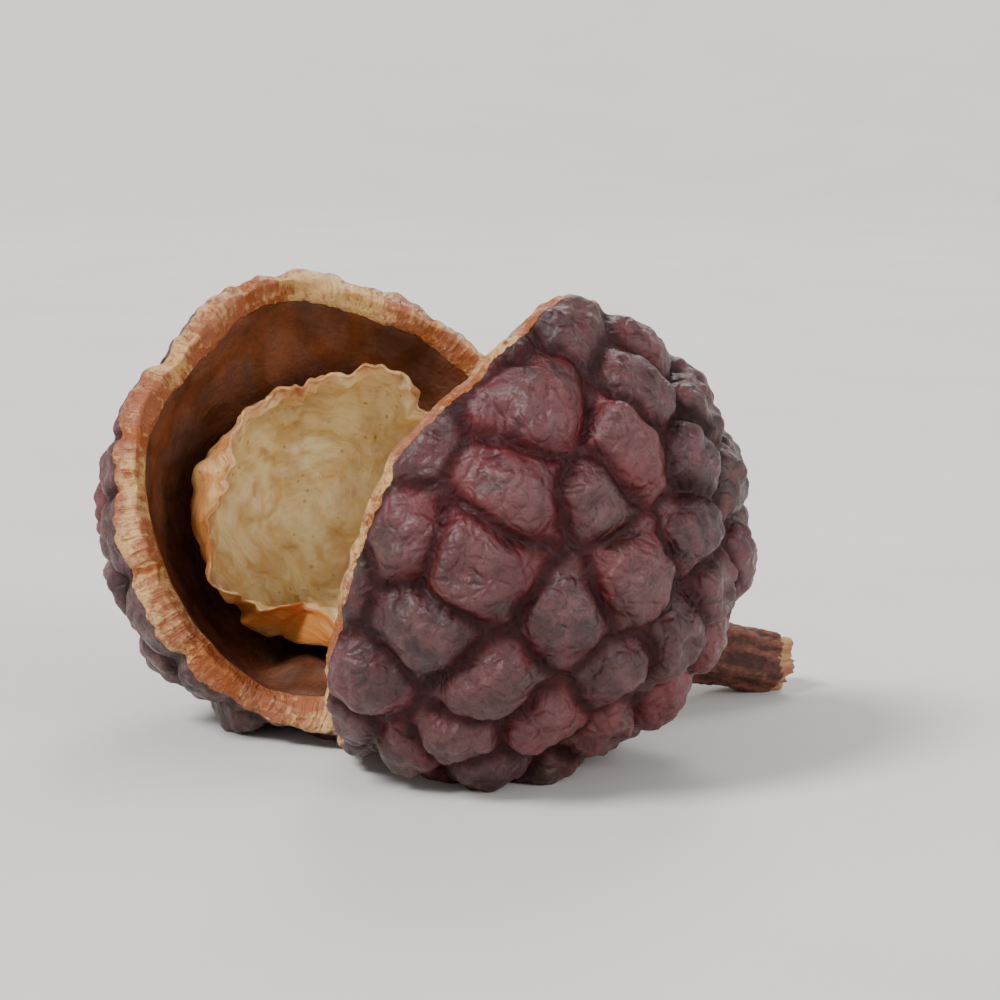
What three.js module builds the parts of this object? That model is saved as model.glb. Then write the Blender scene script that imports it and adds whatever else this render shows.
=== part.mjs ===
// Sichuan peppercorn: one dried husk, split into two gaping valves that stay joined at the base,
// with its papery lining sprung free inside and a short length of its stalk.
// Millimetres, +Z up, the surface that it rests on at Z = 0, stalk to +Y, mouth tipped to -Y.

import * as THREE from 'three';
import { mergeVertices } from 'three/addons/utils/BufferGeometryUtils.js';

const { degToRad, smoothstep, lerp } = THREE.MathUtils;

// The closed fruit: a ball whose seam runs round it in the plane X = 0
const FRUIT_RADIUS = 2.08;
const WALL = 0.46;
const SIDE_FLATTENING = 0.05;
const CROWN_STRETCH = 0.035;
const BEAK_HEIGHT = 0.26;
const BEAK_WIDTH = 0.3;
const BEAK_ANGLE = degToRad(158);

// The split: the seam opens from the crown down both ends and holds along an arc at the bottom
const HINGE_HALF_ARC = degToRad(46);
const HINGE_LINE = -1.93;
const HINGE_FLAT = 0.34;
const HINGE_BEND = 0.95;
const GAPE_LEFT = degToRad(31);
const GAPE_RIGHT = degToRad(25);

// How it lies: tipped forward on the undersides of both valves, with the stalk as a prop behind
const FORWARD_LEAN = degToRad(30);
const FRUIT_HEIGHT = 2.03;
const SPOT_ACROSS = degToRad(38);
const SPOT_SMOOTH = 0.3;
const SPOT_REACH = 0.75;

// Oil glands, the warts of the skin
const GLAND_SEED = 20117;
const GLAND_TRIES = 9000;
const GLAND_SPACING = 0.56;
const GLAND_RADIUS = [0.3, 0.45];
const GLAND_HEIGHT = [0.11, 0.2];
const GLAND_ROUNDNESS = 0.95;
const CREASE_DEPTH = 0.055;
const CREASE_WIDTH = 0.4;

// The mouth edge of each valve: rounded, slightly wavy, thinner than the wall and less warty
const LIP_ROUNDING = 0.1;
const LIP_REACH = 0.2;
const LIP_INSET = 0.05;
const LIP_WAVE = 0.03;
const LIP_WALL_SHARE = 0.66;
const LIP_WALL_REACH = 0.9;
const LIP_WART_SHARE = 0.35;
const LIP_WART_REACH = 0.55;

// The lining: a thin papery cup that gapes less than the husk, with curled margins
const LINING_THICKNESS = 0.13;
const LINING_CLEARANCE = 0.05;
const LINING_GAPE_SHARE = 0.86;
const LINING_INSET = 0.38;
const LINING_WAVE = 0.12;
const LINING_CURL = 0.27;
const LINING_CURL_REACH = 0.85;

// The stalk: where it leaves the skin, its shaft, its swollen head, and the bud beside the head
const STALK_ANGLE = degToRad(25);
const STALK_RADIUS = 0.29;
const STALK_HEAD_RADIUS = 0.43;
const STALK_REACH = 2.2;
const STALK_SWAY = 0.52;
const STALK_TIP_HEIGHT = 0.22;
const STALK_RIDGES = 5;
const STALK_RIDGE_DEPTH = 0.09;
const STALK_KNOT_DEPTH = 0.06;
const STALK_CLEARANCE = 0.04;
const STALK_BALD_REACH = 0.95;
const BUD_PLACE = 0.19;
const BUD_SPREAD = 0.09;
const BUD_HEIGHT = 0.16;

// Fineness of the meshes: points round the mouth, and the distance between rows
const HUSK_SKIN = { points: 120, row: 0.114 };
const HUSK_INSIDE = { points: 46, row: 0.27 };
const LINING_FACE = { points: 44, row: 0.24 };
const STALK_SIDES = 15;
const STALK_ROWS = 24;

function seededDraw(seed) {
  let state = seed;
  return () => {
    state = (state * 48271) % 2147483647;
    return state / 2147483647;
  };
}

// Direction from the middle of the fruit: across runs from the seam, 0, to the middle of a
// valve's side, a quarter turn; around runs round the seam from the bottom, 0, by way of +Y
function direction(across, around, side) {
  const onSeam = Math.cos(across);
  return new THREE.Vector3(
    side * Math.sin(across),
    onSeam * Math.sin(around),
    -onSeam * Math.cos(around),
  );
}

// Distance along the seam beyond the end of the hinge, 0 where the valves are still joined
function pastHinge(around) {
  return FRUIT_RADIUS * Math.max(0, Math.abs(around) - HINGE_HALF_ARC);
}

function scatterGlands() {
  const draw = seededDraw(GLAND_SEED);
  const glands = [];
  for (let attempt = 0; attempt < GLAND_TRIES; attempt += 1) {
    const height = 2 * draw() - 1;
    const turn = 2 * Math.PI * draw();
    const girth = Math.sqrt(1 - height * height);
    const size = draw();
    const centre = new THREE.Vector3(girth * Math.cos(turn), girth * Math.sin(turn), height);
    if (glands.every((gland) => gland.centre.distanceTo(centre) * FRUIT_RADIUS > GLAND_SPACING)) {
      glands.push({ centre, radius: lerp(...GLAND_RADIUS, size), rise: lerp(...GLAND_HEIGHT, size) });
    }
  }
  return glands;
}

const GLANDS = scatterGlands();
const STALK_DIRECTION = direction(0, STALK_ANGLE, 1);
const BEAK_DIRECTION = direction(0, BEAK_ANGLE, 1);
const SPOT_DIRECTIONS = [1, -1].map((side) => direction(SPOT_ACROSS, -FORWARD_LEAN, side));

// Warts stand up as round domes, with creases between neighbours. They fade out where the stalk
// grows from the skin, and are worn smooth at the two spots that the husk rests on
function wartRelief(aim) {
  let dome = 0;
  let nearest = Infinity;
  let second = Infinity;
  for (const gland of GLANDS) {
    const spread = (aim.distanceTo(gland.centre) * FRUIT_RADIUS) / gland.radius;
    if (spread < 1) {
      dome = Math.max(dome, gland.rise * (1 - spread * spread) ** GLAND_ROUNDNESS);
    }
    second = Math.min(second, Math.max(nearest, spread));
    nearest = Math.min(nearest, spread);
  }
  const crease = CREASE_DEPTH * Math.exp(-(((second - nearest) / CREASE_WIDTH) ** 2));
  const fromStalk = aim.distanceTo(STALK_DIRECTION) * FRUIT_RADIUS;
  const fromSpot = FRUIT_RADIUS * Math.min(...SPOT_DIRECTIONS.map((spot) => aim.distanceTo(spot)));
  const worn = smoothstep(fromSpot, SPOT_SMOOTH, SPOT_REACH);
  return (dome - crease) * worn * smoothstep(fromStalk, STALK_HEAD_RADIUS, STALK_BALD_REACH);
}

// Radius of the fruit without warts: flattened at the sides, drawn up at the crown, with a beak
function fruitRadius(aim) {
  const swell = 1 + CROWN_STRETCH * aim.z - SIDE_FLATTENING * aim.x * aim.x;
  const dents = 0.012 * Math.sin(4 * aim.y + 3 * aim.z + 1) + 0.01 * Math.sin(5 * aim.x - 4 * aim.y);
  const fromBeak = aim.distanceTo(BEAK_DIRECTION) / BEAK_WIDTH;
  return FRUIT_RADIUS * (swell + dents) + BEAK_HEIGHT * Math.exp(-fromBeak * fromBeak);
}

// Angle at which a valve's mouth edge starts; 0 along the hinge, where both valves share it
function mouthEdge(around, side, inset, wave) {
  const free = smoothstep(pastHinge(around), 0, 0.8);
  const ripple = Math.sin(3 * around + side) + 0.6 * Math.sin(7 * around - 2 * side);
  return (free * (inset + wave * ripple)) / FRUIT_RADIUS;
}

// A valve turns outwards about the hinge line, and bends over a short stretch beside it
function swingOpen(point, side, share) {
  const around = Math.atan2(point.y, -point.z);
  const beside = Math.max(0, Math.abs(point.x) - HINGE_FLAT);
  const bend = smoothstep(Math.hypot(pastHinge(around), beside), 0, HINGE_BEND);
  const turn = side * bend * share * (side > 0 ? GAPE_RIGHT : GAPE_LEFT);
  const above = point.z - HINGE_LINE;
  return new THREE.Vector3(
    point.x * Math.cos(turn) + above * Math.sin(turn),
    point.y,
    HINGE_LINE + above * Math.cos(turn) - point.x * Math.sin(turn),
  );
}

// The valves gape unequally, so the fruit is rolled until both undersides are equally low
function rollAngle() {
  const right = swingOpen(new THREE.Vector3(HINGE_FLAT + HINGE_BEND, 0, 0), 1, 1);
  const left = swingOpen(new THREE.Vector3(-HINGE_FLAT - HINGE_BEND, 0, 0), -1, 1);
  return Math.atan2(right.z - left.z, right.x - left.x);
}

const PLACE = new THREE.Matrix4()
  .makeTranslation(0, 0, FRUIT_HEIGHT)
  .multiply(new THREE.Matrix4().makeRotationX(FORWARD_LEAN))
  .multiply(new THREE.Matrix4().makeRotationY(rollAngle()));

// What would reach below the surface is pressed flat on it
function settle(point) {
  const placed = point.applyMatrix4(PLACE);
  placed.z = Math.max(placed.z, 0);
  return placed;
}

// How the skin changes towards the mouth edge, 0 along the hinge: by how much it is rounded, and
// what share is left of the wall and of the warts
function lipShape(fromEdge, around) {
  const open = smoothstep(pastHinge(around), 0, 0.5);
  const rest = Math.min(1, fromEdge / LIP_REACH);
  return {
    rounding: LIP_ROUNDING * open * (1 - Math.sqrt(1 - (1 - rest) ** 2)),
    wall: WALL * (1 - open * (1 - LIP_WALL_SHARE) * (1 - smoothstep(fromEdge, 0, LIP_WALL_REACH))),
    wart: 1 - open * (1 - LIP_WART_SHARE) * (1 - smoothstep(fromEdge, 0, LIP_WART_REACH)),
  };
}

function huskPoint(face, progress, around, side) {
  const edge = mouthEdge(around, side, LIP_INSET, LIP_WAVE);
  const across = lerp(edge, Math.PI / 2, progress);
  const aim = direction(across, around, side);
  const lip = lipShape((across - edge) * FRUIT_RADIUS, around);
  const relief = lip.wart * wartRelief(aim);
  const radius = {
    skin: fruitRadius(aim) + relief - lip.rounding,
    lip: fruitRadius(aim) + 0.5 * relief - 0.5 * lip.wall,
    inside: fruitRadius(aim) - lip.wall + lip.rounding,
  }[face];
  return settle(swingOpen(aim.multiplyScalar(radius), side, 1));
}

function liningPoint(face, progress, around, side) {
  const edge = mouthEdge(around, side, LINING_INSET, LINING_WAVE);
  const across = lerp(edge, Math.PI / 2, progress);
  const aim = direction(across, around, side);
  const curled = 1 - smoothstep((across - edge) * FRUIT_RADIUS, 0, LINING_CURL_REACH);
  const free = smoothstep(pastHinge(around), 0, 0.8);
  const wander = 1 + 0.45 * Math.sin(3 * around + 2 * side) + 0.35 * Math.sin(5 * around - side);
  const curl = LINING_CURL * free * curled * wander;
  const depth = { skin: 0, lip: 0.5, inside: 1 }[face] * LINING_THICKNESS;
  const radius = fruitRadius(aim) - WALL - LINING_CLEARANCE - curl - depth;
  return settle(swingOpen(aim.multiplyScalar(radius), side, LINING_GAPE_SHARE));
}

// Triangles between two rings that start at the same turn and may differ in their number of
// points. A ring of one point closes the surface, and leaveOut says which stretches stay open
function joinRings(triangles, lower, upper, leaveOut = () => false) {
  const lowerSteps = lower.length > 1 ? lower.length : 0;
  const upperSteps = upper.length > 1 ? upper.length : 0;
  let low = 0;
  let up = 0;
  while (low < lowerSteps || up < upperSteps) {
    const first = lower[low % lower.length];
    const second = upper[up % upper.length];
    const takeLower = (low + 0.5) * upperSteps <= (up + 0.5) * lowerSteps;
    const stepLower = up >= upperSteps || (low < lowerSteps && takeLower);
    const segment = stepLower ? low : up;
    if (stepLower) {
      low += 1;
    } else {
      up += 1;
    }
    const third = stepLower ? lower[low % lower.length] : upper[up % upper.length];
    if (!leaveOut(segment)) {
      triangles.push([first, third, second]);
    }
  }
}

// One ring round a valve, from the crown by way of -Y, the bottom and +Y
function valveRing(pointAt, face, progress, side, count) {
  const ring = [];
  for (let step = 0; step < count; step += 1) {
    ring.push(pointAt(face, progress, (2 * Math.PI * step) / count - Math.PI, side));
  }
  return ring;
}

// Rings over one face of a valve, from its mouth edge to the middle of its side
function valveFace(pointAt, face, side, fineness, edgeCount) {
  const rows = Math.round((FRUIT_RADIUS * Math.PI) / 2 / fineness.row);
  const rings = [valveRing(pointAt, face, 0, side, edgeCount)];
  for (let row = 1; row < rows; row += 1) {
    const count = Math.max(5, Math.round(fineness.points * Math.cos((row / rows) * (Math.PI / 2))));
    rings.push(valveRing(pointAt, face, row / rows, side, count));
  }
  rings.push([pointAt(face, 1, 0, side)]);
  return rings;
}

// A closed shell of two lobes, split along the seam except at the hinge
function twoLobedShell(pointAt, skin, inside) {
  const triangles = [];
  const count = skin.points;
  const isJoined = (step) => pastHinge((2 * Math.PI * (step % count)) / count - Math.PI) === 0;
  const inHinge = (segment) => isJoined(segment) && isJoined(segment + 1);
  for (const side of [1, -1]) {
    const inner = valveFace(pointAt, 'inside', side, inside, count).reverse();
    const lip = valveRing(pointAt, 'lip', 0, side, count);
    const outer = valveFace(pointAt, 'skin', side, skin, count);
    const lobe = [];
    for (let row = 1; row < inner.length; row += 1) {
      joinRings(lobe, inner[row - 1], inner[row]);
    }
    joinRings(lobe, inner[inner.length - 1], lip, inHinge);
    joinRings(lobe, lip, outer[0], inHinge);
    for (let row = 1; row < outer.length; row += 1) {
      joinRings(lobe, outer[row - 1], outer[row]);
    }
    triangles.push(...(side > 0 ? lobe : lobe.map(([a, b, c]) => [a, c, b])));
  }
  return triangles;
}

// The stalk's middle line: out of the skin beside the hinge, then down to the surface
function stalkLine() {
  const root = STALK_DIRECTION.clone().multiplyScalar(FRUIT_RADIUS - 0.1).applyMatrix4(PLACE);
  const outward = STALK_DIRECTION.clone().transformDirection(PLACE);
  return new THREE.CatmullRomCurve3([
    root,
    root.clone().addScaledVector(outward, 0.25 * STALK_REACH),
    new THREE.Vector3(0.4 * STALK_SWAY, root.y + 0.56 * STALK_REACH, 2.1 * STALK_TIP_HEIGHT),
    new THREE.Vector3(STALK_SWAY, root.y + STALK_REACH, STALK_TIP_HEIGHT),
  ]);
}

// Radius of the stalk: a swollen head under the husk, a slim ridged shaft and a blunt torn end
function stalkRadius(along, turn) {
  const head = (STALK_HEAD_RADIUS - STALK_RADIUS) * (1 - smoothstep(along, 0.04, 0.34));
  const ridges = STALK_RIDGE_DEPTH * Math.cos(STALK_RIDGES * turn + 2 * along);
  const knots = STALK_KNOT_DEPTH * Math.sin(17 * along + 2 * Math.sin(turn));
  const fromBud = (along - BUD_PLACE) / BUD_SPREAD;
  const bud = BUD_HEIGHT * Math.exp(-fromBud * fromBud) * Math.max(0, Math.sin(turn)) ** 3;
  return (STALK_RADIUS + head) * (1 + ridges + knots) + bud;
}

// A point of the stalk's head, moved on to the skin that it grows from
function seatOnSkin(point) {
  const aim = point.clone().applyMatrix4(PLACE.clone().invert()).normalize();
  return aim.clone().multiplyScalar(fruitRadius(aim) + STALK_CLEARANCE).applyMatrix4(PLACE);
}

function stalkTriangles() {
  const line = stalkLine();
  const frames = line.computeFrenetFrames(STALK_ROWS, false);
  const rings = [];
  for (let row = 0; row <= STALK_ROWS; row += 1) {
    const along = row / STALK_ROWS;
    const middle = line.getPointAt(along);
    const ring = [];
    for (let step = 0; step < STALK_SIDES; step += 1) {
      const turn = (2 * Math.PI * step) / STALK_SIDES;
      const radius = stalkRadius(along, turn);
      const point = middle.clone();
      point.addScaledVector(frames.normals[row], radius * Math.cos(turn));
      point.addScaledVector(frames.binormals[row], radius * Math.sin(turn));
      point.z = Math.max(point.z, 0);
      ring.push(point);
    }
    rings.push(ring);
  }
  rings[0] = rings[0].map(seatOnSkin);
  rings.unshift([seatOnSkin(line.getPointAt(0))]);
  rings.push([line.getPointAt(1)]);
  const triangles = [];
  for (let row = 1; row < rings.length; row += 1) {
    joinRings(triangles, rings[row - 1], rings[row]);
  }
  return triangles;
}

function closedMesh(name, triangles, colour, roughness) {
  const positions = triangles.flatMap((triangle) => triangle.flatMap((point) => point.toArray()));
  const loose = new THREE.BufferGeometry();
  loose.setAttribute('position', new THREE.Float32BufferAttribute(positions, 3));
  const geometry = mergeVertices(loose, 1e-4);
  geometry.computeVertexNormals();
  const material = new THREE.MeshStandardMaterial({ color: colour, roughness, metalness: 0 });
  const mesh = new THREE.Mesh(geometry, material);
  mesh.name = name;
  return mesh;
}

// The group is shifted so that the middle of its footprint is at the origin
function peppercorn() {
  const group = new THREE.Group();
  group.add(closedMesh('husk', twoLobedShell(huskPoint, HUSK_SKIN, HUSK_INSIDE), 0x4a2a2e, 0.6));
  group.add(closedMesh('lining', twoLobedShell(liningPoint, LINING_FACE, LINING_FACE), 0xcdb27c, 0.7));
  group.add(closedMesh('stalk', stalkTriangles(), 0x7a4434, 0.75));
  const middle = new THREE.Box3().setFromObject(group).getCenter(new THREE.Vector3());
  group.position.set(-middle.x, -middle.y, 0);
  return group;
}

export default peppercorn();
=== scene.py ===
"""Sichuan peppercorn: one dried husk, split into two valves, with its papery lining and stalk.

Blender units are metres, in the frame of the packed model: +Z up, the surface that it rests on at
Z = 0, the stalk to +Y and the mouth tipped to -Y.
"""

import math
from functools import partial

import bmesh
import bpy
import numpy as np
from bpy.props import FloatProperty, FloatVectorProperty, IntProperty, PointerProperty
from mathutils import Matrix, Vector, noise


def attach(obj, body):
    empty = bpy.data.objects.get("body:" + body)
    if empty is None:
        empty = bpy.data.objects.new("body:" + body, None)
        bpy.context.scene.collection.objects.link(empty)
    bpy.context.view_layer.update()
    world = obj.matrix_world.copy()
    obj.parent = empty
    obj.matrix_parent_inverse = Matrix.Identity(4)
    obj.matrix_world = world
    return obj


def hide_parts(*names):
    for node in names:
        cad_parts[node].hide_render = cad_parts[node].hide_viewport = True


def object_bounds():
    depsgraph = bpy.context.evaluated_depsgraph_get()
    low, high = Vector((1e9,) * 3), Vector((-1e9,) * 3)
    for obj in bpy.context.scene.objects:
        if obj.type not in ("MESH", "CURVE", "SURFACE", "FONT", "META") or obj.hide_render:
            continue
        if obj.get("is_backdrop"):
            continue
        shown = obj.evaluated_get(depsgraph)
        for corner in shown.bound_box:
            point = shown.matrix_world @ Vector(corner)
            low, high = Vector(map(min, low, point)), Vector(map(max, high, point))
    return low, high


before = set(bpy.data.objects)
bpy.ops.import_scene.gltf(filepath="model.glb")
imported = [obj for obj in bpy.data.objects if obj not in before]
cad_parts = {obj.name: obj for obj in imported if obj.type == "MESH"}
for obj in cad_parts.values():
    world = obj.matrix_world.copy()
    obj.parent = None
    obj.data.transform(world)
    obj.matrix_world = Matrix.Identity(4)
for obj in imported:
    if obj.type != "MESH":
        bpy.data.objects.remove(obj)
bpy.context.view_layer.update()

bl_info = {
    "name": "Sichuan peppercorn",
    "version": (1, 0, 0),
    "blender": (4, 5, 0),
    "location": "3D View > Sidebar > Peppercorn",
    "description": "Builds one dried sichuan peppercorn: an open husk, its lining and its stalk",
    "category": "Add Mesh",
}

MM = 0.001
TINY = 1e-6

# The fruit as it grew: directions are on a ball of radius 1 whose seam lies in the plane X = 0
BEAK_TURN = math.radians(158)
BEAK_DIRECTION = (0.0, math.sin(BEAK_TURN), -math.cos(BEAK_TURN))
BEAK_WIDTH = 0.3
BEAK_HEIGHT = 0.26 * MM
HINGE_LINE = -1.93 * MM
HINGE_FLAT = 0.34 * MM
HINGE_BEND = 0.95 * MM
# How far past the end of the hinge the split edge has its full shape, and its valve is free
SPLIT_REACH = 0.5 * MM
FREE_REACH = 0.8 * MM
# How far up the side of each valve its resting spot lies
RESTING_SPOT_TURN = math.radians(38)
# Middle of the outline of the placed fruit, which the frame puts at the origin
FOOTPRINT_MIDDLE = (-0.10888 * MM, 0.9894 * MM)

# Factor and range of the draw that scatters the glands, and the step between their shades
DRAW_FACTOR, DRAW_RANGE = 48271, 2147483647
TINT_STEP = 0.618
# Warts are worn off near a resting spot, and full again this far from it and from the stalk
BARE_RADIUS = 0.3 * MM
WARTS_FROM_SPOT = 0.75 * MM
WARTS_FROM_STALK = 0.95 * MM
# Strips along the split edge: low warts, a thinner wall, and its colour running out
LOW_WARTS = 0.55 * MM
THIN_WALL = 0.9 * MM
EDGE_STAIN = (0.02 * MM, 0.16 * MM)
# Strips along the margin of the lining, where it thins out and is browned
THIN_LINING = 0.35 * MM
BROWNED_LINING = 0.3 * MM

# Heights and depths of the low relief
WART_CREASE = 0.055 * MM
SKIN_WRINKLE = 0.035 * MM
SKIN_PIMPLE = 0.02 * MM
INNER_PIT = 0.02 * MM
EDGE_NICK = 0.035 * MM
EDGE_CRUMB = 0.03 * MM
EDGE_CROWN = 0.05 * MM
EDGE_ROUNDING = 0.1 * MM
LINING_FRAY = 0.13 * MM
LINING_TEAR = 0.26 * MM
LINING_CRINKLE = 0.1 * MM
LINING_COCKLE = 0.09 * MM
LINING_FOLD = 0.15 * MM
LINING_SLACK = 0.04 * MM
STALK_SEAT = 0.1 * MM
HEAD_FLARE = 0.06 * MM
BARK_WRINKLE = 0.028 * MM
BARK_THICKNESS = 0.03 * MM
SPLINTER_LENGTH = 0.1 * MM

# Sockets of a Mix node that mixes two colours, and settings of nodes that are used often
SHARE, FIRST, SECOND, MIXED = 0, 6, 7, 2
OF_COLOURS = {"data_type": "RGBA"}
SOFTLY = {"interpolation_type": "SMOOTHSTEP"}
RIDGED = {"noise_type": "RIDGED_MULTIFRACTAL", "normalize": True}


def linear(hex_colour, alpha=1.0):
    """Turn an sRGB hex colour into linear values."""
    parts = [int(hex_colour[place:place + 2], 16) / 255 for place in (1, 3, 5)]
    return [part / 12.92 if part <= 0.04045 else ((part + 0.055) / 1.055) ** 2.4
            for part in parts] + [alpha]


def colour(name, description, hex_colour):
    return FloatVectorProperty(name=name, description=description, subtype="COLOR", size=4,
                               min=0.0, max=1.0, default=linear(hex_colour))


def length(name, description, millimetres):
    return FloatProperty(name=name, description=description, unit="LENGTH", precision=5,
                         default=millimetres * MM)


def angle(name, description, degrees):
    return FloatProperty(name=name, description=description, subtype="ANGLE",
                         default=math.radians(degrees))


def count(name, description, number):
    return IntProperty(name=name, description=description, default=number, min=12)


class FruitSettings(bpy.types.PropertyGroup):
    """Sizes of the husk"""
    radius: length("Radius", "Radius of the closed fruit without its warts", 2.08)
    wall: length("Wall", "Thickness of the fruit wall", 0.46)
    hinge_arc: angle("Hinge arc", "Half of the arc along which the valves hold together", 46)
    gape_left: angle("Left gape", "How far the left valve swings out", 31)
    gape_right: angle("Right gape", "How far the right valve swings out", 25)
    lean: angle("Forward lean", "How far the mouth is tipped forward", 30)
    height: length("Height", "Height of the middle of the fruit above the surface", 2.03)
    wart_small: length("Smallest wart", "Radius of the smallest oil gland", 0.3)
    wart_large: length("Largest wart", "Radius of the largest oil gland", 0.45)
    wart_spacing: length("Wart spacing", "Least distance between the middles of two glands", 0.56)
    wart_low: length("Lowest wart", "Height of the smallest oil gland", 0.11)
    wart_high: length("Highest wart", "Height of the largest oil gland", 0.2)
    seed: count("Seed", "Start of the draw that places the glands", 20117)
    squares: count("Squares", "Squares along a quarter turn of the skin", 84)


class LiningSettings(bpy.types.PropertyGroup):
    """Sizes of the papery lining"""
    thickness: length("Thickness", "Thickness of the papery layer", 0.09)
    edge_thickness: length("Edge thickness", "Thickness of its margin", 0.025)
    clearance: length("Clearance", "Gap between the lining and the wall where they meet", 0.05)
    gape_share: FloatProperty(name="Gape share", description="How far it opens beside the husk",
                              default=0.86, min=0.0, max=1.0)
    inset: length("Inset", "How far its margin lies below the mouth edge", 0.38)
    wave: length("Margin wave", "How much the margin wanders", 0.12)
    curl: length("Curl", "How far the margin curls in", 0.27)
    curl_reach: length("Curl reach", "Width of the curled strip", 0.85)
    squares: count("Squares", "Squares along a quarter turn", 72)


class StalkSettings(bpy.types.PropertyGroup):
    """Sizes of the stalk"""
    place: angle("Place", "Where on the seam it grows, from the bottom towards the back", 25)
    radius: length("Radius", "Radius of the shaft", 0.29)
    head_radius: length("Head radius", "Radius of the swollen head under the husk", 0.43)
    reach: length("Reach", "How far it reaches out behind the husk", 2.2)
    sunk: length("Sunk", "How deep its root is sunk into the skin", 0.16)
    sway: length("Sway", "How far it bends to one side", 0.52)
    tip_height: length("Tip height", "Height of the middle of the torn end", 0.22)
    bud_height: length("Bud height", "Height of the bud beside the head", 0.16)
    sides: count("Sides", "Sides of the shaft", 72)
    rows: count("Rows", "Rows along the shaft", 170)


class ColourSettings(bpy.types.PropertyGroup):
    """Colours of the peppercorn"""
    skin_dark: colour("Dark skin", "Purplish brown of the fruit skin", "#311819")
    skin_red: colour("Red skin", "Maroon patches of the fruit skin", "#642226")
    skin_olive: colour("Olive skin", "Olive-brown patches of the fruit skin", "#37291D")
    # The darkest brown serves for dark mottling, and as painted shade in the creases and wrinkles
    skin_deep_and_crease_shade: colour("Crease", "Darkest brown, in the creases and wrinkles", "#230F10")
    # Painted highlight: greyish purple laid on the tops of the warts
    skin_top_highlight: colour("Skin top highlight", "Greyish purple on the tops of the warts", "#5F4142")
    rim: colour("Cut edge", "Orange-brown of the split edge", "#95522C")
    rim_pale: colour("Pale cut edge", "Straw-tan of the split edge", "#CBA066")
    wall_inside: colour("Inner wall", "Brown of the inner face of the wall", "#553220")
    wall_vein: colour("Inner wall veins", "Paler veins of the inner face", "#8A5432")
    straw: colour("Straw", "Straw of the lining", "#CDAE71")
    cream: colour("Cream", "Palest part of the lining", "#E6D3A3")
    tan: colour("Tan", "Orange-tan of the outer face of the lining", "#B9773A")
    stain: colour("Stain", "Brown of the lining's margin and folds", "#8E5A2C")
    bark: colour("Bark", "Reddish brown of the stalk", "#6B372C")
    bark_dark: colour("Dark bark", "Furrows of the bark", "#361C17")
    bark_pale: colour("Pale bark", "Paler ridges of the stalk", "#9C654D")
    wood: colour("Torn wood", "Pale fibres of the torn end", "#B8925F")
    floor: colour("Floor", "Pale board that it rests on", "#DCD9D4")
    room: colour("Room", "Cool white light from all round", "#F1F3F6")


class StageSettings(bpy.types.PropertyGroup):
    """Camera, lights and floor"""
    azimuth: angle("Azimuth", "Direction of the camera, from the front towards the right", 50)
    elevation: angle("Elevation", "How far the camera looks down", 9)
    distance: length("Distance", "Distance of the camera", 24)
    lens: FloatProperty(name="Lens", description="Focal length", subtype="DISTANCE_CAMERA",
                        default=100.0)
    room_strength: FloatProperty(name="Room light", description="Strength of the light from all "
                                 "round", default=0.5, min=0.0)
    floor_radius: length("Floor radius", "Radius of the flat part of the floor", 90)
    sweep: length("Sweep", "Radius of the curve by which the floor rises at its border", 50)


SETTINGS = {
    "pepper_fruit": FruitSettings,
    "pepper_lining": LiningSettings,
    "pepper_stalk": StalkSettings,
    "pepper_colours": ColourSettings,
    "pepper_stage": StageSettings,
}


def smoothstep(value, low, high):
    share = np.clip((value - low) / (high - low), 0.0, 1.0)
    return share * share * (3.0 - 2.0 * share)


def blend(low, high, share):
    return low + (high - low) * share


def direction(across, around, side=1.0):
    """Direction on the ball: across runs from the seam to the middle of a valve's side, and
    around runs round the seam from its bottom by way of +Y."""
    across, around, side = np.broadcast_arrays(across, around, side)
    on_seam = np.cos(across)
    return np.stack([side * np.sin(across), on_seam * np.sin(around), -on_seam * np.cos(around)],
                    axis=-1)


def unit(vectors):
    return vectors / np.linalg.norm(vectors, axis=1)[:, None]


def distance(aims, target):
    return np.linalg.norm(aims - np.asarray(target), axis=-1)


def field(points, size, kind="PERLIN_ORIGINAL", offset=0.0):
    """Noise at each point, with features of about the given size."""
    places = points / size + offset * np.array([1.0, 2.3, -1.0])
    return np.array([noise.noise(place, noise_basis=kind) for place in places])


def folds(points, size, offset=0.0):
    """Branching lines at each point, about the given size apart, from 0 between them to 1."""
    places = points / size + offset
    ridges = np.array([noise.ridged_multi_fractal(place, 0.9, 2.1, 3, 1.0, 2.0)
                       for place in places])
    return np.clip(ridges / 2.6, 0.0, 1.0)


def wobbled(points, size, amount, offset=0.0):
    """Points pushed about at random, so that round shapes grow irregular outlines."""
    pushes = [field(points, size, offset=offset + 11.0 * axis) for axis in range(3)]
    return points + amount * np.stack(pushes, axis=1)


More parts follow.
